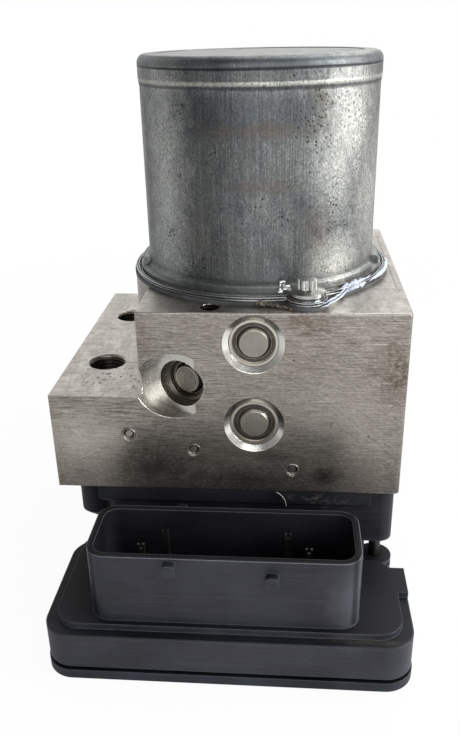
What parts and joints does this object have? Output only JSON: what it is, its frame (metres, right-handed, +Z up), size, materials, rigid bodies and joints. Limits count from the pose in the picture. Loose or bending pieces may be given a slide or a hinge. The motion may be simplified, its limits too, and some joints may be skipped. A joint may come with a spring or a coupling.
{
  "type": "abs brake module",
  "caption": "Vehicle brake pressure modulator: a pump motor stands on a ported aluminium valve block, with a plastic control unit and its socket below.",
  "frame": {"origin": "under the middle of the unit, on the flat face of the control unit cover that it rests on", "axes": "+Z up along the pump motor axis, -Y towards the electrical socket, -X towards the pipe ports"},
  "size_m": [0.1136, 0.1454, 0.1705],
  "materials": {
    "cast_block": "machined extruded aluminium",
    "plated_steel": "deep-drawn zinc-plated steel",
    "bolt_steel": "zinc-plated cold-headed steel",
    "turned_steel": "turned steel",
    "ground_steel": "hardened and ground steel",
    "spring_steel": "drawn spring wire",
    "ecu_plastic": "moulded glass-filled nylon",
    "inner_plastic": "moulded phenolic",
    "gasket_rubber": "moulded seal",
    "board": "glass epoxy laminate",
    "tinned_brass": "tin-plated brass",
    "copper": "enamelled copper",
    "electrical_steel": "stamped lamination stack",
    "ferrite": "sintered ferrite",
    "carbon": "copper-graphite"
  },
  "bodies": {
    "unit": {"accumulator_cap_front": "turned_steel", "accumulator_cap_rear": "turned_steel", "accumulator_spring_front": "spring_steel", "accumulator_spring_rear": "spring_steel", "ball_plugs": "turned_steel", "bearing_block": "turned_steel", "bearing_tail": "turned_steel", "bearing_top": "turned_steel", "brush_plate": "inner_plastic", "ecu_circuit_board": "board", "ecu_cover": "ecu_plastic", "ecu_housing": "ecu_plastic", "ecu_screws": "bolt_steel", "inlet_valves": "turned_steel", "isolation_valves": "turned_steel", "motor_bolts": "bolt_steel", "motor_brush_far": "carbon", "motor_brush_port": "carbon", "motor_can": "plated_steel", "motor_flange": "plated_steel", "motor_gasket": "gasket_rubber", "motor_lead": "copper", "motor_magnet_front": "ferrite", "motor_magnet_rear": "ferrite", "outlet_valves": "turned_steel", "power_blades": "tinned_brass", "pressure_sensor": "turned_steel", "pump_plug_front_lower": "turned_steel", "pump_plug_front_middle": "turned_steel", "pump_plug_front_upper": "turned_steel", "pump_plug_rear_lower": "turned_steel", "pump_plug_rear_middle": "turned_steel", "pump_plug_rear_upper": "turned_steel", "pump_spring_front_lower": "spring_steel", "pump_spring_front_middle": "spring_steel", "pump_spring_front_upper": "spring_steel", "pump_spring_rear_lower": "spring_steel", "pump_spring_rear_middle": "spring_steel", "pump_spring_rear_upper": "spring_steel", "signal_pins": "tinned_brass", "suction_valves": "turned_steel", "valve_block": "cast_block", "valve_coils": "copper"},
    "armature": {"pump_shaft": "ground_steel", "armature_core": "electrical_steel", "armature_winding": "copper", "commutator": "copper", "eccentric_bearing_lower": "turned_steel", "eccentric_bearing_middle": "turned_steel", "eccentric_bearing_upper": "turned_steel"},
    "piston_front_upper": {"pump_piston_front_upper": "ground_steel"},
    "piston_rear_upper": {"pump_piston_rear_upper": "ground_steel"},
    "piston_front_middle": {"pump_piston_front_middle": "ground_steel"},
    "piston_rear_middle": {"pump_piston_rear_middle": "ground_steel"},
    "piston_front_lower": {"pump_piston_front_lower": "ground_steel"},
    "piston_rear_lower": {"pump_piston_rear_lower": "ground_steel"},
    "accumulator_front": {"accumulator_piston_front": "ground_steel"},
    "accumulator_rear": {"accumulator_piston_rear": "ground_steel"}
  },
  "joints": [
    {"name": "armature_spin", "type": "hinge", "parent": "unit", "child": "armature", "pos_m": [0.0085, 0.02265, 0], "axis": [0, 0, 1], "continuous": true},
    {"name": "pump_stroke_front_upper", "type": "slide", "parent": "unit", "child": "piston_front_upper", "axis": [0, -1, 0], "range_m": [0, 0.002], "stiffness_N_per_m": 1500, "springref_m": -0.003, "deforming": ["pump_spring_front_upper"]},
    {"name": "pump_stroke_rear_upper", "type": "slide", "parent": "unit", "child": "piston_rear_upper", "axis": [0, 1, 0], "range_m": [0, 0.002], "stiffness_N_per_m": 1500, "springref_m": -0.003, "deforming": ["pump_spring_rear_upper"]},
    {"name": "pump_stroke_front_middle", "type": "slide", "parent": "unit", "child": "piston_front_middle", "axis": [-0.4337, -0.9011, 0], "range_m": [0, 0.002], "stiffness_N_per_m": 1500, "springref_m": -0.003, "deforming": ["pump_spring_front_middle"]},
    {"name": "pump_stroke_rear_middle", "type": "slide", "parent": "unit", "child": "piston_rear_middle", "axis": [-0.4337, 0.9011, 0], "range_m": [0, 0.002], "stiffness_N_per_m": 1500, "springref_m": -0.003, "deforming": ["pump_spring_rear_middle"]},
    {"name": "pump_stroke_front_lower", "type": "slide", "parent": "unit", "child": "piston_front_lower", "axis": [0, -1, 0], "range_m": [0, 0.002], "stiffness_N_per_m": 1500, "springref_m": -0.003, "deforming": ["pump_spring_front_lower"]},
    {"name": "pump_stroke_rear_lower", "type": "slide", "parent": "unit", "child": "piston_rear_lower", "axis": [0, 1, 0], "range_m": [0, 0.002], "stiffness_N_per_m": 1500, "springref_m": -0.003, "deforming": ["pump_spring_rear_lower"]},
    {"name": "accumulator_stroke_front", "type": "slide", "parent": "unit", "child": "accumulator_front", "axis": [1, 0, 0], "range_m": [0, 0.006], "stiffness_N_per_m": 2500, "springref_m": -0.004, "deforming": ["accumulator_spring_front"]},
    {"name": "accumulator_stroke_rear", "type": "slide", "parent": "unit", "child": "accumulator_rear", "axis": [1, 0, 0], "range_m": [0, 0.006], "stiffness_N_per_m": 2500, "springref_m": -0.004, "deforming": ["accumulator_spring_rear"]}
  ]
}
